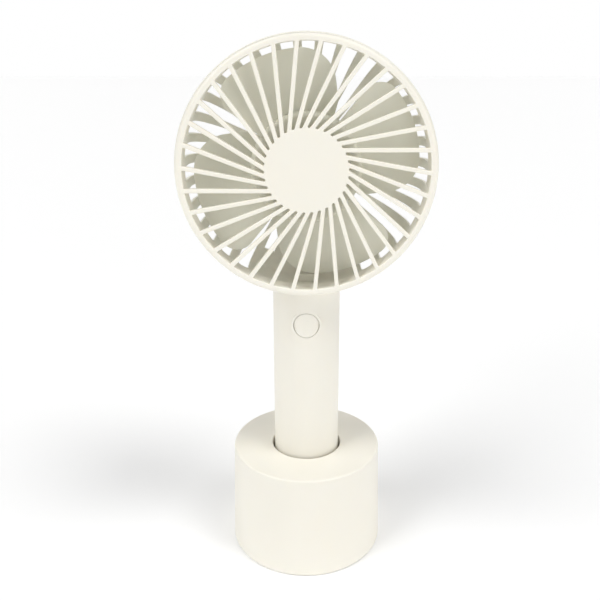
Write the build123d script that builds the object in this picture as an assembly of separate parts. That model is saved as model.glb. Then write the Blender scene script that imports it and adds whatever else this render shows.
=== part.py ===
"""Rechargeable handheld fan standing in its round desk stand.

Millimetres. +Z is up, the front faces -Y and the origin is on the table under the middle of the stand.
Head parts are drawn flat first: x to the right, y downwards and z backwards along the fan's axle.
"""

import os
from math import atan, cos, radians, sin, tan

from build123d import *

# Shared by every piece
CUT = 1.0  # how far a cutting shape runs past the face that it opens
SINK = 0.5  # how far a rib, boss or lug sinks into the wall that carries it

# Driving dimensions of the head
HEAD_Z = 172.0
HEAD_R = 51.0
WALL = 1.8
HOUSING_FRONT = -16.65
HOUSING_BACK = 19.5
HOUSING_CORNER = 14.0
BACK_WALL = 2.0
RIM_ROUND = 0.5

# Front grille
SPOKES = 34
SPOKE_WIDTH = 1.6
SPOKE_OFFSET = 7.82
GRILLE_FRONT = -19.7
GRILLE_PLATE = 2.3
GRILLE_R = 50.3
RING_INNER_R = 47.66
DISC_R = 16.2
GRILLE_ROUND = 1.4
GAP_ROUND = 0.42
EDGE_SOFT = 0.3
SLOT_CHAMFER = 0.25
SKIRT_R = 48.9
SKIRT_BACK = -11.5
LUGS = 4
LUG_R = 49.75
LUG_FRONT = -13.6
LUG_BACK = -12.3
LUG_DEG = 8.0
LUG_START = 20.0
TWIST_DEG = 14.0
ENTRY_SLACK_DEG = 1.5
GROOVE_R = 50.0
GROOVE_SLACK = 0.3

# Rear grille
RIB_PHASE = 0.9
SLOT_DEG = 6.3
SLOT_INNER_R = 20.5
SLOT_SIDE_R = 45.0
SLOT_SIDE_START = -6.0
SLOT_BACK_START = 4.0
SLOT_SIDE_ROUND = 2.0
SLOT_ROUND = 0.9
SHORT_SLOT_R = 44.0
SHORT_SLOT_START = 10.0
PLAIN_WALL = (64.0, 114.0)
SPINE = (78.0, 98.0)

# Impeller: a blade's outline is (radius, degrees from its middle), from its root round its tip
BLADES = 4
BLADE_PHASE = -12.0
BLADE_R = 45.6
BLADE_OUTLINE = ((14.8, -45.0), (52.0, -40.8), (62.0, 0.0), (52.0, 22.5), (28.1, 39.3), (16.0, 48.0))
BLADE_FULL_TIP = (-41.0, 8.0)
BLADE_SWEPT_TIP = (24.5, 14.0)
BLADE_SPREAD_DEG = 50.0
BLADE_STATIONS = (13.0, 22.0, 31.0, 40.0, 49.0)
BLADE_MIDDLE = -6.3
BLADE_RISE = 11.0
BLADE_CAMBER = 1.5
BLADE_THICK = 1.4
HUB_R = 21.8
HUB_FRONT = -13.6
HUB_BACK = 4.5
HUB_WALL = 1.8
HUB_ROUND = 2.0
HUB_BOSS_R = 3.2
HUB_BOSS_BACK = -9.4

# Motor
MOTOR_R = 12.0
MOTOR_FRONT = -7.0
MOTOR_BACK = 13.0
MOTOR_WALL = 0.8
SHAFT_R = 1.0
BUSH_R = 2.6
RUNNING_GAP = 0.04
MOTOR_SCREW_X = 8.0
SCREW_R = 0.95
SCREW_SLOT = 0.5
TUBE_GAP = 0.15
TUBE_WALL = 1.85
TUBE_END = 1.6
CORE_R = 7.7
CORE_FRONT = -1.0
CORE_BACK = 8.0
MAGNET_INNER_R = 8.3
COVER_R = 17.0
COVER_RECESS = 1.0
COVER_PROUD = 0.4

# Handle
HANDLE_R = 14.3
HANDLE_WALL = 1.8
HANDLE_BOTTOM = 7.5
CAP_HEIGHT = 2.5
CAP_FLOOR = 2.0
SEAM = 0.05
NECK_R = 12.45
NECK_BOTTOM = 111.0
SCREW_HEIGHTS = (82.5, 116.2)
HANDLE_SCREW_SEAT = 6.0
BUTTON_Z = 106.9
BUTTON_R = 5.2
BUTTON_GAP = 0.2
BUTTON_FLANGE_R = 6.4
BUTTON_FLANGE = (-10.2, -9.2)
BOARD_Y = 3.0
PLUNGER_FRONT = -2.2
PLUNGER_R = 1.75
BOARD_THICK = 1.2
BOARD_WIDTH = 20.0
BOARD_LOW = 86.0
BOARD_HIGH = 110.0
PORT_Z = 95.5
LAMP_Z = 103.5
LAMP_R = 1.15
CELL_R = 9.1
CELL_LENGTH = 65.0
CELL_BOTTOM = 13.9
CELL_RIBS = (24.0, 46.0, 68.0)
LEAD_R = 0.6

# Desk stand
STAND_HEIGHT = 45.57
STAND_TOP_R = 32.57
STAND_BOTTOM_R = 33.7
STAND_LIFT = 0.4
STAND_WALL = 2.4
STAND_TOP_WALL = 2.6
SOCKET_R = 15.3
SOCKET_WALL = 1.8
SOCKET_FLOOR = 7.45
BASE_R = 31.0
BASE_LOW = 0.6
BASE_HIGH = 3.0
FOOT_INNER_R = 26.8
FOOT_OUTER_R = 29.8
FOOT_HIGH = 1.6
WEIGHT_R = 29.2
WEIGHT_TOP = 19.0
STAND_SCREWS = 3
STAND_SCREW_R = 22.5
STAND_SCREW_SHANK_R = 1.1
STAND_SCREW_SEAT = 2.0
STAND_BOSS_R = 3.0

HEAD = Plane(origin=(0, 0, HEAD_Z), x_dir=(1, 0, 0), z_dir=(0, 1, 0)).location
BOTTOM = (Align.CENTER, Align.CENTER, Align.MIN)
HANDLE_INNER_R = HANDLE_R - HANDLE_WALL
PITCH_DEG = 360.0 / SPOKES


def polar(radius, degrees):
    return radius * cos(radians(degrees)), radius * sin(radians(degrees))


def rounded(face, rounds):
    for point, radius in rounds:
        corner = face.vertices().sort_by_distance((point[0], point[1], 0))[0]
        face = fillet(corner, radius)
    return face


def profile(points, rounds=()):
    return rounded(make_face(Polyline(*points, close=True)), rounds)


def turned(points, rounds=(), sweep=360.0, start=0.0):
    solid = revolve(Plane.XZ * profile(points, rounds), Axis.Z, sweep)
    return Rot(0, 0, start) * solid


def disc(radius, low, high):
    return Pos(0, 0, low) * Cylinder(radius, high - low, align=BOTTOM)


def tube(outer, inner, low, high):
    return disc(outer, low, high) - disc(inner, low, high)


def sector(inner, outer, low, high, start, sweep):
    corners = [(inner, low), (outer, low), (outer, high), (inner, high)]
    return turned(corners, sweep=sweep, start=start)


def block(x, y, z):
    middle = [(a + b) / 2 for a, b in (x, y, z)]
    return Pos(*middle) * Box(x[1] - x[0], y[1] - y[0], z[1] - z[0])


def rod_y(radius, front, back, z, x=0.0):
    return Pos(x, front, z) * Rot(-90, 0, 0) * Cylinder(radius, back - front, align=BOTTOM)


def spaced(shape, count, start=0.0):
    return [Rot(0, 0, start + 360.0 * i / count) * shape for i in range(count)]


def bowl_solid(outer, back, corner, front=HOUSING_FRONT):
    outline = [(0, front), (outer, front), (outer, back), (0, back)]
    return turned(outline, [((outer, back), corner)])


# The head: front and rear grilles


def grille_gaps():
    length = RING_INNER_R + CUT
    spoke = Pos(length / 2, -SPOKE_OFFSET) * Rectangle(length, SPOKE_WIDTH)
    gaps = Circle(RING_INNER_R) - Circle(DISC_R) - spaced(spoke, SPOKES)
    return fillet(gaps.vertices(), GAP_ROUND)


def front_grille():
    plate_back = GRILLE_FRONT + GRILLE_PLATE
    ring_back = HOUSING_FRONT - GROOVE_SLACK
    outline = [
        (0, GRILLE_FRONT),
        (GRILLE_R, GRILLE_FRONT),
        (GRILLE_R, ring_back),
        (SKIRT_R, ring_back),
        (SKIRT_R, SKIRT_BACK),
        (RING_INNER_R, SKIRT_BACK),
        (RING_INNER_R, plate_back),
        (0, plate_back),
    ]
    body = turned(outline, [((GRILLE_R, GRILLE_FRONT), GRILLE_ROUND)])
    body -= Pos(0, 0, GRILLE_FRONT) * extrude(grille_gaps(), GRILLE_PLATE)
    front_edges = body.edges().filter_by_position(Axis.Z, GRILLE_FRONT, GRILLE_FRONT)
    body = fillet(front_edges, EDGE_SOFT)
    lug = sector(SKIRT_R - EDGE_SOFT, LUG_R, LUG_FRONT, LUG_BACK, LUG_START, LUG_DEG)
    return HEAD * (body + spaced(lug, LUGS))


def bayonet_track():
    low = LUG_FRONT - GROOVE_SLACK
    high = LUG_BACK + GROOVE_SLACK
    inside = HEAD_R - WALL - SINK
    groove = tube(GROOVE_R, inside, low, high)
    start = LUG_START - TWIST_DEG - ENTRY_SLACK_DEG
    entry = sector(inside, GROOVE_R, HOUSING_FRONT - CUT, high, start, LUG_DEG + 2 * ENTRY_SLACK_DEG)
    return [groove] + spaced(entry, LUGS)


def wedge(inner, outer, front, rounding=0.0):
    slope = tan(radians(SLOT_DEG / 2))
    corners = [(inner, -inner * slope), (outer, -outer * slope)]
    corners += [(x, -y) for x, y in reversed(corners)]
    face = make_face(Polyline(*corners, close=True))
    if rounding:
        face = fillet(face.vertices().group_by(Axis.X)[0], rounding)
    return Pos(0, 0, front) * extrude(face, HOUSING_BACK + CUT - front)


def full_slot():
    side = wedge(SLOT_SIDE_R, HEAD_R + CUT, SLOT_SIDE_START)
    ends = side.edges().filter_by_position(Axis.Z, SLOT_SIDE_START, SLOT_SIDE_START)
    side = fillet(ends.sort_by(SortBy.LENGTH)[-2:], SLOT_SIDE_ROUND)
    return side + wedge(SLOT_INNER_R, HEAD_R + CUT, SLOT_BACK_START, SLOT_ROUND)


def rear_slots():
    full = full_slot()
    short = wedge(SLOT_INNER_R, SHORT_SLOT_R, SHORT_SLOT_START, SLOT_ROUND)
    slots = []
    for i in range(SPOKES):
        angle = (RIB_PHASE + (i + 0.5) * PITCH_DEG) % 360
        if SPINE[0] < angle < SPINE[1]:
            continue
        plain = PLAIN_WALL[0] < angle < PLAIN_WALL[1]
        slots.append(Rot(0, 0, angle) * (short if plain else full))
    return slots


def is_outside(point):
    """True on the housing's outer skin: its round wall, its rounded corner or its flat back."""
    radius = (point.X**2 + point.Y**2) ** 0.5
    corner_r = HEAD_R - HOUSING_CORNER
    corner_z = HOUSING_BACK - HOUSING_CORNER
    if point.Z <= corner_z:
        return abs(radius - HEAD_R) < SEAM
    if radius <= corner_r:
        return abs(point.Z - HOUSING_BACK) < SEAM
    reach = ((radius - corner_r) ** 2 + (point.Z - corner_z) ** 2) ** 0.5
    return abs(reach - HOUSING_CORNER) < SEAM


def soften_slots(shell):
    edges = []
    for edge in shell.edges():
        whole_turn = edge.geom_type == GeomType.CIRCLE and edge.length > HEAD_R
        if not whole_turn and all(is_outside(edge @ part) for part in (0.1, 0.5, 0.9)):
            edges.append(edge)
    return chamfer(edges, SLOT_CHAMFER)


def motor_tube():
    inner = MOTOR_R + TUBE_GAP
    outer = inner + TUBE_WALL
    front = MOTOR_FRONT - TUBE_END
    sleeve = tube(outer, inner, MOTOR_FRONT, HOUSING_BACK - BACK_WALL)
    end = tube(outer, BUSH_R + 0.7, front, MOTOR_FRONT)
    for x in (-MOTOR_SCREW_X, MOTOR_SCREW_X):
        end -= Pos(x, 0, 0) * disc(SCREW_R + TUBE_GAP, front, MOTOR_FRONT)
    return sleeve + end


def lead_guides():
    low = MOTOR_R + TUBE_GAP + TUBE_WALL - SINK
    back = HOUSING_BACK - BACK_WALL
    return [block((x, x + 1), (low, 36.0), (back - 2.2, back + SINK)) for x in (-4.8, 3.8)]


def rear_grille():
    back = HOUSING_BACK - BACK_WALL
    head_bottom = HEAD_Z - HEAD_R
    shell = bowl_solid(HEAD_R, HOUSING_BACK, HOUSING_CORNER)
    cavity = bowl_solid(HEAD_R - WALL, back, HOUSING_CORNER - WALL, HOUSING_FRONT - CUT)
    shell = soften_slots(shell - cavity - rear_slots())
    neck = disc(NECK_R, NECK_BOTTOM, head_bottom + 8)
    neck -= disc(NECK_R - 2, NECK_BOTTOM, head_bottom - 1)
    shell = shell + (HEAD.inverse() * neck - cavity)
    rim = shell.edges().filter_by_position(Axis.Z, HOUSING_FRONT, HOUSING_FRONT)
    shell = fillet(rim.sort_by(SortBy.RADIUS)[-1:], RIM_ROUND)
    shell -= bayonet_track()
    shell += motor_tube()
    shell += lead_guides()
    shell -= disc(MOTOR_R + TUBE_GAP, MOTOR_BACK, HOUSING_BACK + CUT)
    shell -= disc(COVER_R + TUBE_GAP, HOUSING_BACK - COVER_RECESS, HOUSING_BACK + CUT)
    shell -= block((-3.7, 3.7), (MOTOR_R - 1, MOTOR_R + 3), (back - 2.2, back))
    shell = HEAD * shell
    shell -= block((-3.5, 3.5), (-3.0, 7.0), (NECK_BOTTOM + 5, head_bottom + 4))
    shell -= rod_y(3.4, -NECK_R - CUT, NECK_R + CUT, SCREW_HEIGHTS[1])
    shell -= rod_y(BUTTON_FLANGE_R + 0.3, -NECK_R - CUT, 0, BUTTON_Z)
    return shell


def lead_cover():
    floor = HEAD_Z - HEAD_R + WALL
    outer = block((-4.5, 4.5), (-4.0, 7.5), (floor - 1, floor + 3.2))
    outer = fillet(outer.edges().group_by(Axis.Z)[-1], RIM_ROUND)
    inner = block((-3.5, 3.5), (-3.0, 8.5), (floor - 2, floor + 2.7))
    cavity = bowl_solid(HEAD_R - WALL, HOUSING_BACK - BACK_WALL, HOUSING_CORNER - WALL)
    return (outer - inner) & (HEAD * cavity)


def motor_cover():
    spigot_r = MOTOR_R - 0.1
    spigot_front = HOUSING_BACK - COVER_RECESS - 1.2
    seat = HOUSING_BACK - COVER_RECESS
    face = HOUSING_BACK + COVER_PROUD
    outline = [
        (0, spigot_front),
        (spigot_r, spigot_front),
        (spigot_r, seat),
        (COVER_R, seat),
        (COVER_R, face),
        (0, face),
    ]
    return HEAD * turned(outline, [((COVER_R, face), 0.6)])


# The impeller


def blade_section(x):
    half = x * tan(radians(BLADE_SPREAD_DEG))
    front = []
    for step in (-1.0, -0.5, 0.0, 0.5, 1.0):
        y = half * step
        rise = BLADE_RISE * atan(y / x) + BLADE_CAMBER * (1 - step * step)
        front.append((x, y, BLADE_MIDDLE + rise))
    back = [(px, py, pz + BLADE_THICK) for px, py, pz in front]
    edges = [Spline(*front), Line(front[-1], back[-1]), Spline(*back), Line(back[0], front[0])]
    return make_face(edges)


def blade():
    sheet = loft([blade_section(x) for x in BLADE_STATIONS])
    corners = [polar(*corner) for corner in BLADE_OUTLINE]
    outline = make_face(Polyline(*corners, close=True)) & Circle(BLADE_R)
    tips = [(polar(BLADE_R, degrees), radius) for degrees, radius in (BLADE_FULL_TIP, BLADE_SWEPT_TIP)]
    petal = Pos(0, 0, HUB_FRONT) * extrude(rounded(outline, tips), HUB_BACK - HUB_FRONT + CUT)
    return sheet & petal


def impeller():
    inner = HUB_R - HUB_WALL
    under = HUB_FRONT + HUB_WALL
    outline = [
        (0, HUB_FRONT),
        (HUB_R, HUB_FRONT),
        (HUB_R, HUB_BACK),
        (inner, HUB_BACK),
        (inner, under),
        (HUB_BOSS_R, under),
        (HUB_BOSS_R, HUB_BOSS_BACK),
        (0, HUB_BOSS_BACK),
    ]
    wheel = turned(outline, [((HUB_R, HUB_FRONT), HUB_ROUND)])
    vane = blade() - disc(HUB_R - HUB_WALL / 2, HUB_FRONT - CUT, HUB_BACK + 2 * CUT)
    for placed in spaced(vane, BLADES, BLADE_PHASE):
        wheel += placed
    wheel -= disc(SHAFT_R, HUB_FRONT + CUT, MOTOR_FRONT)
    return HEAD * wheel


# The motor


def motor_can():
    can = disc(MOTOR_R, MOTOR_FRONT, MOTOR_BACK)
    can -= disc(MOTOR_R - MOTOR_WALL, MOTOR_FRONT + MOTOR_WALL, MOTOR_BACK)
    can -= disc(BUSH_R, MOTOR_FRONT, MOTOR_FRONT + MOTOR_WALL)
    for x in (-MOTOR_SCREW_X, MOTOR_SCREW_X):
        can -= Pos(x, 0, 0) * disc(SCREW_R, MOTOR_FRONT, MOTOR_FRONT + MOTOR_WALL)
    return HEAD * can


def motor_end_bell():
    front = MOTOR_BACK - 1.5
    plate = MOTOR_BACK + 2.0
    bush_back = MOTOR_BACK + 2.6
    bell = disc(MOTOR_R - MOTOR_WALL, front, MOTOR_BACK)
    bell += disc(MOTOR_R, MOTOR_BACK, plate)
    bell += disc(4.0, plate, bush_back)
    bell -= disc(BUSH_R, front, bush_back)
    return HEAD * bell


def motor_bushes():
    bore = SHAFT_R + RUNNING_GAP
    front = tube(BUSH_R, bore, MOTOR_FRONT - 2.0, MOTOR_FRONT + 2.0)
    back = tube(BUSH_R, bore, MOTOR_BACK - 0.6, MOTOR_BACK + 2.4)
    return HEAD * Compound([front, back])


def motor_magnets():
    inner = MAGNET_INNER_R
    outer = MOTOR_R - MOTOR_WALL
    front = CORE_FRONT - 2.0
    back = CORE_BACK + 1.0
    pair = [sector(inner, outer, front, back, start, 120) for start in (-60, 120)]
    return HEAD * Compound(pair)


def motor_shaft():
    return HEAD * disc(SHAFT_R, HUB_FRONT + CUT, MOTOR_BACK + 2.0)


def pole_positions():
    return [Rot(0, 0, 120 * i) for i in range(3)]


def armature_flat():
    core = Circle(CORE_R)
    slot = Rot(0, 0, 60) * Pos(CORE_R, 0) * Rectangle(3.0, 1.4)
    window = [(2.6, 1.5), (6.0, 1.5), (6.0, 4.2), (3.9, 4.2)]
    for turn in pole_positions():
        core -= turn * slot
        for side in (-1, 1):
            corners = [(x, side * y) for x, y in window]
            core -= turn * make_face(Polyline(*corners, close=True))
    return core


def motor_armature():
    stack = Pos(0, 0, CORE_FRONT) * extrude(armature_flat(), CORE_BACK - CORE_FRONT)
    return HEAD * (stack - disc(SHAFT_R, CORE_FRONT, CORE_BACK))


def motor_windings():
    build_up = 1.6
    coil = block((3.4, 5.9), (-2.7, 2.7), (CORE_FRONT - build_up, CORE_BACK + build_up))
    coil = fillet(coil.edges().filter_by(Axis.X), 1.0)
    coil -= block((3.0, 6.2), (-1.5, 1.5), (CORE_FRONT, CORE_BACK))
    return HEAD * Compound([turn * coil for turn in pole_positions()])


def motor_commutator():
    front = CORE_BACK + 1.7
    back = front + 1.7
    ring = tube(2.9, SHAFT_R, front, back)
    for turn in pole_positions():
        ring -= turn * block((2.2, 3.2), (-0.2, 0.2), (front, back))
    return HEAD * ring


def motor_brushes():
    brush = block((2.95, 8.0), (-0.8, 0.8), (CORE_BACK + 2.2, MOTOR_BACK - 1.5))
    tab = block((-0.9, 0.9), (8.3, 8.8), (MOTOR_BACK + 2, MOTOR_BACK + 4.2))
    tabs = [Pos(x, 0, 0) * tab for x in (-2.6, 2.6)]
    return HEAD * Compound(spaced(brush, 2, 90) + tabs)


def cross_slot(reach, low, high):
    bar = block((-reach, reach), (-SCREW_SLOT / 2, SCREW_SLOT / 2), (low, high))
    return [bar, Rot(0, 0, 90) * bar]


def motor_screws():
    seat = MOTOR_FRONT - TUBE_END
    top = seat - 1.2
    screw = disc(SCREW_R, seat, MOTOR_FRONT + 1.8) + disc(1.7, top, seat)
    screw -= cross_slot(0.9, top, top + 0.6)
    return HEAD * Compound([Pos(x, 0, 0) * screw for x in (-MOTOR_SCREW_X, MOTOR_SCREW_X)])


# The handle and its electronics


def handle_half(front):
    low = HANDLE_BOTTOM + CAP_HEIGHT
    high = HEAD_Z - HEAD_R + 6
    shell = tube(HANDLE_R, HANDLE_INNER_R, low, high)
    shell += [tube(HANDLE_R - SINK, CELL_R + 0.2, z, z + 1.2) for z in CELL_RIBS]
    shell -= block((-HANDLE_INNER_R, -CELL_R), (-2.0, 2.0), (low, SCREW_HEIGHTS[0]))
    shell -= HEAD * bowl_solid(HEAD_R + SEAM, HOUSING_BACK + SEAM, HOUSING_CORNER)
    span = HANDLE_R + 1
    if front:
        return shell & block((-span, span), (-span, -SEAM), (low, high))
    return shell & block((-span, span), (SEAM, span), (low, high))


def handle_front_shell():
    shell = handle_half(True)
    shell += rod_y(BUTTON_FLANGE_R, SINK - HANDLE_R, BUTTON_FLANGE[0] - 0.15, BUTTON_Z)
    for z in SCREW_HEIGHTS:
        boss = rod_y(2.6, SINK - HANDLE_R, -SEAM, z)
        shell += boss - rod_y(SCREW_R, -9.0, 0, z)
    shell -= rod_y(BUTTON_R + BUTTON_GAP, -HANDLE_R - CUT, -5.0, BUTTON_Z)
    return shell


def handle_rear_shell():
    shell = handle_half(False)
    for z in SCREW_HEIGHTS:
        shell += rod_y(3.2, SEAM, HANDLE_R - SINK, z)
        shell -= rod_y(1.15, 0, HANDLE_R + CUT, z)
        shell -= rod_y(2.2, HANDLE_SCREW_SEAT, HANDLE_R + CUT, z)
    inside = 8.0
    port = Pos(0, inside, PORT_Z) * Rot(-90, 0, 0) * extrude(RectangleRounded(9.7, 4.0, 1.9), inside)
    return shell - port - rod_y(LAMP_R + 0.1, inside, HANDLE_R + CUT, LAMP_Z)


def handle_end_cap():
    top = HANDLE_BOTTOM + CAP_HEIGHT
    floor = HANDLE_BOTTOM + CAP_FLOOR
    plug_top = top + 2.5
    plug_r = HANDLE_INNER_R - SEAM
    plug_inner_r = HANDLE_INNER_R - 1.5
    outline = [
        (0, HANDLE_BOTTOM),
        (HANDLE_R, HANDLE_BOTTOM),
        (HANDLE_R, top),
        (plug_r, top),
        (plug_r, plug_top),
        (plug_inner_r, plug_top),
        (plug_inner_r, floor),
        (0, floor),
    ]
    return turned(outline, [((HANDLE_R, HANDLE_BOTTOM), 1.4)])


def handle_screws():
    head = HANDLE_SCREW_SEAT + 1.3
    screw = disc(SCREW_R, -7.5, HANDLE_SCREW_SEAT) + disc(1.9, HANDLE_SCREW_SEAT, head)
    screw -= cross_slot(1.1, head - 0.7, head)
    return Compound([Pos(0, 0, z) * Rot(-90, 0, 0) * screw for z in SCREW_HEIGHTS])


def power_button():
    flange_front, flange_back = BUTTON_FLANGE
    skin = disc(HANDLE_R - 0.02, BUTTON_Z - HANDLE_R, BUTTON_Z + HANDLE_R)
    cap = rod_y(BUTTON_R, -HANDLE_R, flange_back, BUTTON_Z) & skin
    cap += rod_y(BUTTON_FLANGE_R - BUTTON_GAP, flange_front, flange_back, BUTTON_Z)
    return cap + rod_y(1.6, flange_back, PLUNGER_FRONT, BUTTON_Z)


def switch_plunger():
    return rod_y(PLUNGER_R, PLUNGER_FRONT, PLUNGER_FRONT + 2.2, BUTTON_Z)


def tact_switch():
    half = 3.0
    low = BOARD_Y - 3.5
    body = block((-half, half), (low, BOARD_Y), (BUTTON_Z - half, BUTTON_Z + half))
    return body - rod_y(PLUNGER_R + 0.1, low, low + 1.5, BUTTON_Z)


def circuit_board():
    half = BOARD_WIDTH / 2
    board = block((-half, half), (BOARD_Y, BOARD_Y + BOARD_THICK), (BOARD_LOW, BOARD_HIGH))
    return fillet(board.edges().filter_by(Axis.Y), 1.0)


def board_chips():
    face = BOARD_Y + BOARD_THICK
    charger = block((-8.0, -3.0), (BOARD_Y - 1.5, BOARD_Y), (92.0, 96.0))
    driver = block((2.0, 6.0), (BOARD_Y - 1.2, BOARD_Y), (91.0, 94.5))
    lamp = block((-1.0, 1.0), (face, face + 0.9), (LAMP_Z - 0.8, LAMP_Z + 0.8))
    coil = rod_y(2.2, BOARD_Y - 2.4, BOARD_Y, 98.5, x=7.0)
    return Compound([charger, driver, lamp, coil])


def usb_socket():
    depth = 9.0
    floor = 2.0
    place = Pos(0, BOARD_Y + BOARD_THICK, PORT_Z) * Rot(-90, 0, 0)
    shell = extrude(RectangleRounded(8.94, 3.26, 1.5), depth)
    shell -= Pos(0, 0, floor) * extrude(RectangleRounded(8.3, 2.6, 1.2), depth - floor)
    tongue = Pos(0, 0, floor - SINK) * extrude(Rectangle(6.6, 0.8), 6.0)
    return place * (shell + tongue)


def charge_lamp():
    lens = rod_y(LAMP_R, BOARD_Y + BOARD_THICK + 1.3, HANDLE_R + CUT, LAMP_Z)
    return lens & disc(HANDLE_R - 0.02, LAMP_Z - HANDLE_R, LAMP_Z + HANDLE_R)


def battery_cell():
    tip = CELL_BOTTOM + CELL_LENGTH
    top = tip - 1.2
    tip_r = 3.0
    outline = [
        (0, CELL_BOTTOM),
        (CELL_R, CELL_BOTTOM),
        (CELL_R, top),
        (tip_r, top),
        (tip_r, tip),
        (0, tip),
    ]
    return turned(outline, [((CELL_R, CELL_BOTTOM), 0.8), ((CELL_R, top), 0.8)])


def battery_foam():
    return disc(7.0, HANDLE_BOTTOM + CAP_FLOOR, CELL_BOTTOM - 1.3)


def lead(points, radii):
    path = FilletPolyline(*points, radius=radii)
    start = Plane(origin=path @ 0, z_dir=path % 0)
    return sweep(start * Circle(LEAD_R), path)


def battery_leads():
    side = -CELL_R - 1.7
    board_side = side + 3.5
    low = CELL_BOTTOM - LEAD_R - 0.02
    top = CELL_BOTTOM + CELL_LENGTH
    end = BOARD_LOW + 2.0
    solder_y = BOARD_Y - LEAD_R - SEAM
    from_below = [
        (-4.0, 0, low),
        (side, 0, low),
        (side, 0, end - 5),
        (board_side, solder_y, end - 3),
        (board_side, solder_y, end),
    ]
    from_above = [
        (4.2, 0, top - SINK),
        (4.2, 0, top + 3),
        (4.2, solder_y, top + 5),
        (4.2, solder_y, end),
    ]
    return Compound([lead(from_below, [1.8, 1.5, 1.0]), lead(from_above, [1.0, 1.0])])


def motor_leads():
    spine = HOUSING_BACK - BACK_WALL - 0.9
    floor = HEAD_Z - HEAD_R + WALL + 1.4
    gland_x = 2.6
    board_x = 4.9
    solder_y = BOARD_Y - LEAD_R - 0.1
    wires = []
    for side in (-1, 1):
        route = [
            (side * gland_x, spine, HEAD_Z - 9.5),
            (side * gland_x, spine, floor),
            (side * gland_x, solder_y, floor),
            (side * gland_x, solder_y, floor - 3.7),
            (side * board_x, solder_y, floor - 6.4),
            (side * board_x, solder_y, BOARD_HIGH - 2.5),
        ]
        wires.append(lead(route, [12.6, 1.2, 1.2, 1.5]))
    return Compound(wires)


# The desk stand


def stand_screw_places():
    return spaced(Pos(STAND_SCREW_R, 0, 0), STAND_SCREWS, 90)


def stand_shell():
    bottom, top = STAND_LIFT, STAND_HEIGHT
    under = top - STAND_TOP_WALL
    tube_r = SOCKET_R + SOCKET_WALL
    rebate_r = BASE_R + 0.15
    outline = [
        (0, SOCKET_FLOOR - SOCKET_WALL),
        (tube_r, SOCKET_FLOOR - SOCKET_WALL),
        (tube_r, under),
        (STAND_TOP_R - STAND_WALL, under),
        (BASE_R - 0.7, BASE_HIGH),
        (rebate_r, BASE_HIGH),
        (rebate_r, bottom),
        (STAND_BOTTOM_R, bottom),
        (STAND_TOP_R, top),
        (SOCKET_R, top),
        (SOCKET_R, SOCKET_FLOOR),
        (0, SOCKET_FLOOR),
    ]
    rounds = [((STAND_TOP_R, top), 0.7), ((SOCKET_R, top), 0.45), ((STAND_BOTTOM_R, bottom), 0.3)]
    shell = turned(outline, rounds)
    boss = disc(STAND_BOSS_R, BASE_HIGH, under + SINK)
    boss -= disc(STAND_SCREW_SHANK_R, BASE_HIGH, BASE_HIGH + 14)
    return shell + [place * boss for place in stand_screw_places()]


def stand_base_plate():
    plate = disc(BASE_R, BASE_LOW, BASE_HIGH)
    plate -= tube(FOOT_OUTER_R + SEAM, FOOT_INNER_R - SEAM, BASE_LOW, FOOT_HIGH)
    hole = disc(1.4, BASE_LOW, BASE_HIGH) + disc(2.6, BASE_LOW, STAND_SCREW_SEAT)
    return plate - [place * hole for place in stand_screw_places()]


def stand_foot_ring():
    inner = (FOOT_INNER_R, 0)
    outer = (FOOT_OUTER_R, 0)
    outline = [inner, outer, (FOOT_OUTER_R, FOOT_HIGH), (FOOT_INNER_R, FOOT_HIGH)]
    return turned(outline, [(inner, 0.35), (outer, 0.35)])


def stand_weight():
    ring = tube(WEIGHT_R, SOCKET_R + SOCKET_WALL + 0.4, BASE_HIGH, WEIGHT_TOP)
    hole = disc(STAND_BOSS_R + 0.4, BASE_HIGH, WEIGHT_TOP)
    return ring - [place * hole for place in stand_screw_places()]


def stand_screws():
    head = BASE_LOW + 0.1
    screw = disc(2.3, head, STAND_SCREW_SEAT)
    screw += disc(STAND_SCREW_SHANK_R, STAND_SCREW_SEAT, BASE_HIGH + 10)
    screw -= cross_slot(1.3, head, head + 0.7)
    return Compound([place * screw for place in stand_screw_places()])


NODES = {
    "stand_shell": stand_shell,
    "stand_base_plate": stand_base_plate,
    "stand_weight": stand_weight,
    "stand_foot_ring": stand_foot_ring,
    "stand_screws": stand_screws,
    "handle_front_shell": handle_front_shell,
    "handle_rear_shell": handle_rear_shell,
    "handle_end_cap": handle_end_cap,
    "handle_screws": handle_screws,
    "power_button": power_button,
    "switch_plunger": switch_plunger,
    "tact_switch": tact_switch,
    "circuit_board": circuit_board,
    "board_chips": board_chips,
    "usb_socket": usb_socket,
    "charge_lamp": charge_lamp,
    "battery_cell": battery_cell,
    "battery_foam": battery_foam,
    "battery_leads": battery_leads,
    "motor_leads": motor_leads,
    "rear_grille": rear_grille,
    "lead_cover": lead_cover,
    "motor_cover": motor_cover,
    "motor_can": motor_can,
    "motor_end_bell": motor_end_bell,
    "motor_bushes": motor_bushes,
    "motor_magnets": motor_magnets,
    "motor_brushes": motor_brushes,
    "motor_screws": motor_screws,
    "motor_shaft": motor_shaft,
    "motor_armature": motor_armature,
    "motor_windings": motor_windings,
    "motor_commutator": motor_commutator,
    "impeller": impeller,
    "front_grille": front_grille,
}

os.makedirs("parts", exist_ok=True)
for name, make in NODES.items():
    export_step(make(), f"parts/{name}.step")
    print("made", name)
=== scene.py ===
import math

import bpy
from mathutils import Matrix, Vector

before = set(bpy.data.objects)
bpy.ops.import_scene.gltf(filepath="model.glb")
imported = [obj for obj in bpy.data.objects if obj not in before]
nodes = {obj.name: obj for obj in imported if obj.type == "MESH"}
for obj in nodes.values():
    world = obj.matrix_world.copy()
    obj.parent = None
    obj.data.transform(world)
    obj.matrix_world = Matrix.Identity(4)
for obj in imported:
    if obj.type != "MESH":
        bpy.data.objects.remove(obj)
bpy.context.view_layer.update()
print("frame loaded:", len(nodes), "parts")

mm = 0.001
scene = bpy.context.scene


# camera and light

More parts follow.
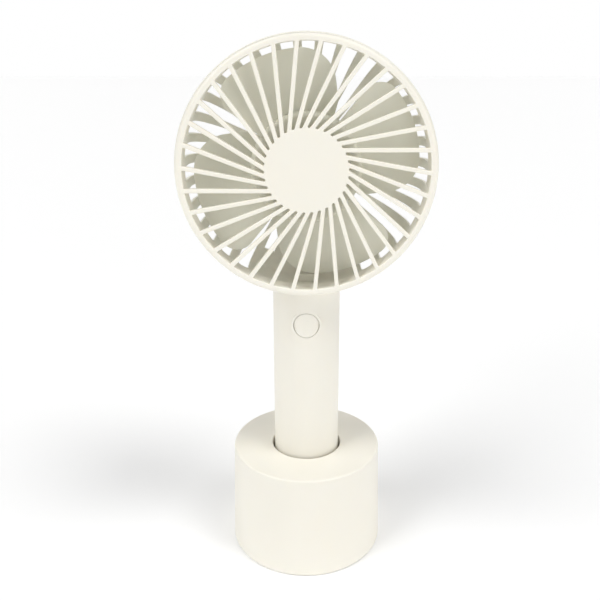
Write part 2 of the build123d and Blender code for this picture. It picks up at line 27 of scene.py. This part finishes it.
camera = {
    "place": (0.0, -279.8 * mm, 211.3 * mm),
    "lookDown": 15.56,      # degrees below level
    "lens": 41.19,
    "filmWidth": 36.0,
    "nearest": 10 * mm,
    "slideX": -0.0107,
    "slideY": -0.075,
}


def setCamera():
    data = bpy.data.cameras.new("productCamera")
    data.lens = camera["lens"]
    data.sensor_width = camera["filmWidth"]
    data.shift_x = camera["slideX"]
    data.shift_y = camera["slideY"]
    data.clip_start = camera["nearest"]
    shooter = bpy.data.objects.new("productCamera", data)
    shooter.location = camera["place"]
    shooter.rotation_euler = (math.radians(90 - camera["lookDown"]), 0, 0)
    scene.collection.objects.link(shooter)
    scene.camera = shooter
    print("camera set")


suns = {
    # name: degrees to the right of the front, degrees up, strength
    "lowLeftPanel": (-60, 8, 0.2),
    "lowFrontPanel": (20, 8, 0.25),
    "lowRightPanel": (60, 8, 0.6),
    "sideLeftPanel": (-80, 35, 0.3),
    "keyLeftPanel": (-50, 35, 0.5),
    "highLeftPanel": (-60, 60, 0.8),
    "highRightPanel": (60, 60, 1.15),
    "rearTopPanel": (180, 60, 0.15),
    "rearRightPanel": (150, 30, 0.2),
    "rearLeftPanel": (-150, 30, 0.2),
}
panelSoftness = 25      # degrees across each panel, seen from the fan
panelDistance = 600 * mm
sky = {"colour": (1.0, 1.0, 1.0), "light": 0.15, "seen": 1.0}      # seen: how bright the paper itself looks


def setLights():
    for name, (side, up, strength) in suns.items():
        data = bpy.data.lights.new(name, "SUN")
        data.energy = strength
        data.angle = math.radians(panelSoftness)
        lamp = bpy.data.objects.new(name, data)
        around, height = math.radians(side), math.radians(up)
        reach = math.cos(height)
        towards = Vector((math.sin(around) * reach, -math.cos(around) * reach, math.sin(height)))
        lamp.rotation_euler = towards.to_track_quat("Z", "Y").to_euler()
        lamp.location = towards * panelDistance
        scene.collection.objects.link(lamp)
    world = bpy.data.worlds.new("paleStudio")
    world.use_nodes = True
    tree = world.node_tree
    glow = tree.nodes["Background"]
    glow.inputs["Color"].default_value = (*sky["colour"], 1)
    glow.inputs["Strength"].default_value = sky["light"]
    paper = tree.nodes.new("ShaderNodeBackground")
    paper.inputs["Strength"].default_value = sky["seen"]
    paper.inputs["Color"].default_value = (*sky["colour"], 1)
    rays = tree.nodes.new("ShaderNodeLightPath")
    either = tree.nodes.new("ShaderNodeMixShader")
    tree.links.new(rays.outputs["Is Camera Ray"], either.inputs[0])
    tree.links.new(glow.outputs[0], either.inputs[1])
    tree.links.new(paper.outputs[0], either.inputs[2])
    tree.links.new(either.outputs[0], tree.nodes["World Output"].inputs["Surface"])
    scene.world = world
    scene.view_settings.view_transform = "Standard"
    print("lights:", len(suns), "soft panels")


floor = {"halfSide": 12.0, "colour": (0.95, 0.95, 0.95), "roughness": 0.8, "glow": 0.085}


def makeFloor():
    mesh = bpy.data.meshes.new("studioFloor")
    side = floor["halfSide"]
    corners = [(-side, -side, 0), (side, -side, 0), (side, side, 0), (-side, side, 0)]
    mesh.from_pydata(corners, [], [(0, 1, 2, 3)])
    board = bpy.data.objects.new("studioFloor", mesh)
    scene.collection.objects.link(board)
    skin = bpy.data.materials.new("studioFloor")
    skin.use_nodes = True
    shader = skin.node_tree.nodes["Principled BSDF"]
    shader.inputs["Base Color"].default_value = (*floor["colour"], 1)
    shader.inputs["Roughness"].default_value = floor["roughness"]
    shader.inputs["Emission Color"].default_value = (*sky["colour"], 1)
    shader.inputs["Emission Strength"].default_value = floor["glow"]
    mesh.materials.append(skin)
    print("floor laid")


# finishes


class Wiring:
    def __init__(self, name):
        self.material = bpy.data.materials.new(name)
        self.material.use_nodes = True
        self.tree = self.material.node_tree
        self.shader = self.tree.nodes["Principled BSDF"]
        self.place = self.add("ShaderNodeTexCoord").outputs["Object"]

    def add(self, kind, **settings):
        node = self.tree.nodes.new(kind)
        for key, value in settings.items():
            if hasattr(node, key):
                setattr(node, key, value)
            else:
                node.inputs[key.replace("_", " ").title()].default_value = value
        return node

    def join(self, out, socket):
        self.tree.links.new(out, socket)

    def noise(self, size, detail=3.0, roughness=0.5, stretch=(1, 1, 1)):
        mapping = self.add("ShaderNodeMapping")
        mapping.inputs["Scale"].default_value = [s / size for s in stretch]
        self.join(self.place, mapping.inputs["Vector"])
        cloud = self.add("ShaderNodeTexNoise")
        cloud.inputs["Scale"].default_value = 1.0
        cloud.inputs["Detail"].default_value = detail
        cloud.inputs["Roughness"].default_value = roughness
        self.join(mapping.outputs["Vector"], cloud.inputs["Vector"])
        return cloud.outputs["Fac"]

    def ramp(self, fac, stops):
        node = self.add("ShaderNodeValToRGB")
        band = node.color_ramp
        band.elements[0].position, band.elements[-1].position = stops[0][0], stops[-1][0]
        band.elements[0].color = (*stops[0][1], 1)
        band.elements[-1].color = (*stops[-1][1], 1)
        for at, colour in stops[1:-1]:
            band.elements.new(at).color = (*colour, 1)
        self.join(fac, node.inputs["Fac"])
        return node.outputs["Color"]

    def spread(self, fac, low, high):
        node = self.add("ShaderNodeMapRange")
        node.inputs["To Min"].default_value = low
        node.inputs["To Max"].default_value = high
        self.join(fac, node.inputs["Value"])
        return node.outputs["Result"]

    def bump(self, height, depth, strength=1.0, under=None):
        node = self.add("ShaderNodeBump")
        node.inputs["Distance"].default_value = depth
        node.inputs["Strength"].default_value = strength
        self.join(height, node.inputs["Height"])
        if under is not None:
            self.join(under, node.inputs["Normal"])
        return node.outputs["Normal"]


def shade(colour, factor):
    return tuple(min(1.0, c * factor) for c in colour)


def mouldedPlastic(name, look):
    w = Wiring(name)
    base = look["colour"]
    cloud = w.noise(look["cloudSize"], 2.0)
    cool = shade(base, 1 - look["drift"])
    warm = tuple(c * k for c, k in zip(base, look["warm"]))
    tint = w.ramp(cloud, [(0.3, cool), (0.5, base), (0.72, warm)])
    w.join(tint, w.shader.inputs["Base Color"])
    grain = w.noise(look["grainSize"], 2.0, 0.6)
    shine = w.spread(grain, look["rough"] - 0.05, look["rough"] + 0.07)
    w.join(shine, w.shader.inputs["Roughness"])
    swell = w.bump(w.noise(look["sinkSize"], 1.0), look["sinkDepth"], 0.5)      # faint sink marks
    w.join(w.bump(grain, look["grainDepth"], 0.6, swell), w.shader.inputs["Normal"])
    w.shader.inputs["IOR"].default_value = look["bend"]
    w.shader.inputs["Subsurface Weight"].default_value = look["glow"]
    w.shader.inputs["Subsurface Radius"].default_value = look["glowTint"]
    w.shader.inputs["Subsurface Scale"].default_value = look["glowDepth"]
    return w.material


ivory = (0.905, 0.875, 0.785)

satinIvory = {
    "colour": ivory,
    "warm": (1.0, 0.995, 0.985),
    "drift": 0.012,
    "cloudSize": 30 * mm,
    "grainSize": 0.12 * mm,
    "grainDepth": 0.010 * mm,
    "sinkSize": 12 * mm,
    "sinkDepth": 0.05 * mm,
    "rough": 0.42,
    "bend": 1.5,
    "glow": 0.12,
    "glowTint": (0.9, 0.8, 0.6),
    "glowDepth": 1.2 * mm,
}

plasticLooks = {
    "standIvory": {},
    "handleIvory": {"sinkSize": 16 * mm},
    # the grille ivory is the shell ivory made 2% brighter: painted light on the front ring face
    "grilleIvoryPaintedLight": {"colour": shade(ivory, 1.02), "rough": 0.38, "grainDepth": 0.006 * mm},
    "housingIvory": {"colour": (0.89, 0.875, 0.785), "rough": 0.44},
    # the blade ivory is darker and greener than the shell ivory: the darkening is painted shade from inside
    # the head
    "bladeIvoryPaintedShade": {"colour": (0.862, 0.857, 0.757), "rough": 0.36, "grainDepth": 0.004 * mm},
    "buttonIvory": {"rough": 0.34, "grainDepth": 0.005 * mm},
    "baseIvory": {"colour": shade(ivory, 0.94), "grainDepth": 0.02 * mm, "rough": 0.5},
    "milkyLens": {"colour": (0.88, 0.88, 0.84), "rough": 0.2, "grainDepth": 0.002 * mm, "glow": 0.4},
    "blackNylon": {"colour": (0.035, 0.035, 0.037), "warm": (1.1, 1.05, 1.0), "glow": 0.0, "rough": 0.5},
    "greenBoard": {
        "colour": (0.02, 0.16, 0.07), "glow": 0.0, "rough": 0.3, "cloudSize": 5 * mm, "drift": 0.2,
    },
    "cellWrap": {"colour": (0.03, 0.14, 0.33), "glow": 0.0, "rough": 0.28, "sinkSize": 20 * mm},
    "redLead": {"colour": (0.5, 0.03, 0.02), "glow": 0.0, "rough": 0.4},
}


rubberShine = (0.72, 0.92)      # roughness on the grain's hills and in its hollows


def rubber(name, look):
    w = Wiring(name)
    cloud = w.noise(look["cloudSize"], 3.0)
    tint = w.ramp(cloud, [(0.3, shade(look["colour"], 0.9)), (0.7, shade(look["colour"], 1.08))])
    w.join(tint, w.shader.inputs["Base Color"])
    grain = w.noise(look["grainSize"], 3.0, 0.7)
    w.join(w.spread(grain, *rubberShine), w.shader.inputs["Roughness"])
    w.join(w.bump(grain, look["grainDepth"], 0.8), w.shader.inputs["Normal"])
    return w.material


rubberLooks = {
    "greySilicone": {
        "colour": (0.36, 0.36, 0.34), "cloudSize": 8 * mm, "grainSize": 0.25 * mm, "grainDepth": 0.02 * mm,
    },
    "blackFoam": {
        "colour": (0.03, 0.03, 0.03), "cloudSize": 3 * mm, "grainSize": 0.5 * mm, "grainDepth": 0.12 * mm,
    },
}


def metal(name, look):
    w = Wiring(name)
    streak = w.noise(look["streakSize"], 4.0, 0.6, look["stretch"])
    tint = w.ramp(streak, [(0.25, shade(look["colour"], 0.82)), (0.75, shade(look["colour"], 1.1))])
    w.join(tint, w.shader.inputs["Base Color"])
    shine = w.spread(streak, look["rough"] - 0.08, look["rough"] + 0.1)
    w.join(shine, w.shader.inputs["Roughness"])
    w.join(w.bump(streak, look["depth"], 0.5), w.shader.inputs["Normal"])
    w.shader.inputs["Metallic"].default_value = 1.0
    return w.material


plainMetal = {
    "colour": (0.6, 0.6, 0.61),
    "streakSize": 0.6 * mm,
    "stretch": (1, 1, 1),
    "depth": 0.006 * mm,
    "rough": 0.32,
}

metalLooks = {
    "nickelScrew": {"rough": 0.28},
    "zincWeight": {"colour": (0.42, 0.42, 0.44), "streakSize": 3 * mm, "rough": 0.5, "depth": 0.03 * mm},
    "platedCan": {"stretch": (1, 0.15, 1), "rough": 0.3},
    "groundShaft": {"colour": (0.66, 0.66, 0.67), "stretch": (0.2, 6, 0.2), "rough": 0.2},
    "laminatedCore": {
        "colour": (0.3, 0.3, 0.32), "stretch": (0.1, 3, 0.1), "depth": 0.03 * mm, "rough": 0.42,
    },
    "enamelledCopper": {
        "colour": (0.62, 0.26, 0.12), "streakSize": 0.3 * mm, "stretch": (1, 0.2, 1),
        "depth": 0.03 * mm, "rough": 0.3,
    },
    "springBrass": {"colour": (0.72, 0.53, 0.27), "rough": 0.3},
    "sinteredBronze": {
        "colour": (0.5, 0.36, 0.2), "streakSize": 0.2 * mm, "depth": 0.01 * mm, "rough": 0.5,
    },
    "darkFerrite": {"colour": (0.06, 0.06, 0.065), "rough": 0.6, "streakSize": 0.4 * mm},
    "stampedSteel": {"colour": (0.63, 0.63, 0.64), "rough": 0.3},
}

finishOf = {
    "standIvory": ["stand_shell"],
    "baseIvory": ["stand_base_plate"],
    "greySilicone": ["stand_foot_ring"],
    "zincWeight": ["stand_weight"],
    "nickelScrew": ["stand_screws", "handle_screws", "motor_screws"],
    "handleIvory": ["handle_front_shell", "handle_rear_shell", "handle_end_cap"],
    "buttonIvory": ["power_button"],
    "blackNylon": ["switch_plunger", "motor_end_bell", "board_chips"],
    "stampedSteel": ["tact_switch", "usb_socket"],
    "greenBoard": ["circuit_board"],
    "milkyLens": ["charge_lamp"],
    "cellWrap": ["battery_cell"],
    "blackFoam": ["battery_foam"],
    "redLead": ["battery_leads", "motor_leads"],
    "housingIvory": ["rear_grille", "lead_cover", "motor_cover"],
    "platedCan": ["motor_can"],
    "sinteredBronze": ["motor_bushes"],
    "darkFerrite": ["motor_magnets"],
    "springBrass": ["motor_brushes", "motor_commutator"],
    "groundShaft": ["motor_shaft"],
    "laminatedCore": ["motor_armature"],
    "enamelledCopper": ["motor_windings"],
    # the impeller finish carries painted shade: its ivory is darkened
    "bladeIvoryPaintedShade": ["impeller"],
    # the front grille finish carries painted light: its ivory is brightened
    "grilleIvoryPaintedLight": ["front_grille"],
}


def dress():
    finishes = {name: mouldedPlastic(name, {**satinIvory, **look}) for name, look in plasticLooks.items()}
    finishes.update({name: rubber(name, look) for name, look in rubberLooks.items()})
    finishes.update({name: metal(name, {**plainMetal, **look}) for name, look in metalLooks.items()})
    for name, parts in finishOf.items():
        for part in parts:
            for slot in nodes[part].material_slots:
                slot.material = finishes[name]
    print("finishes on:", sum(len(p) for p in finishOf.values()), "parts")


setCamera()
setLights()
makeFloor()
dress()
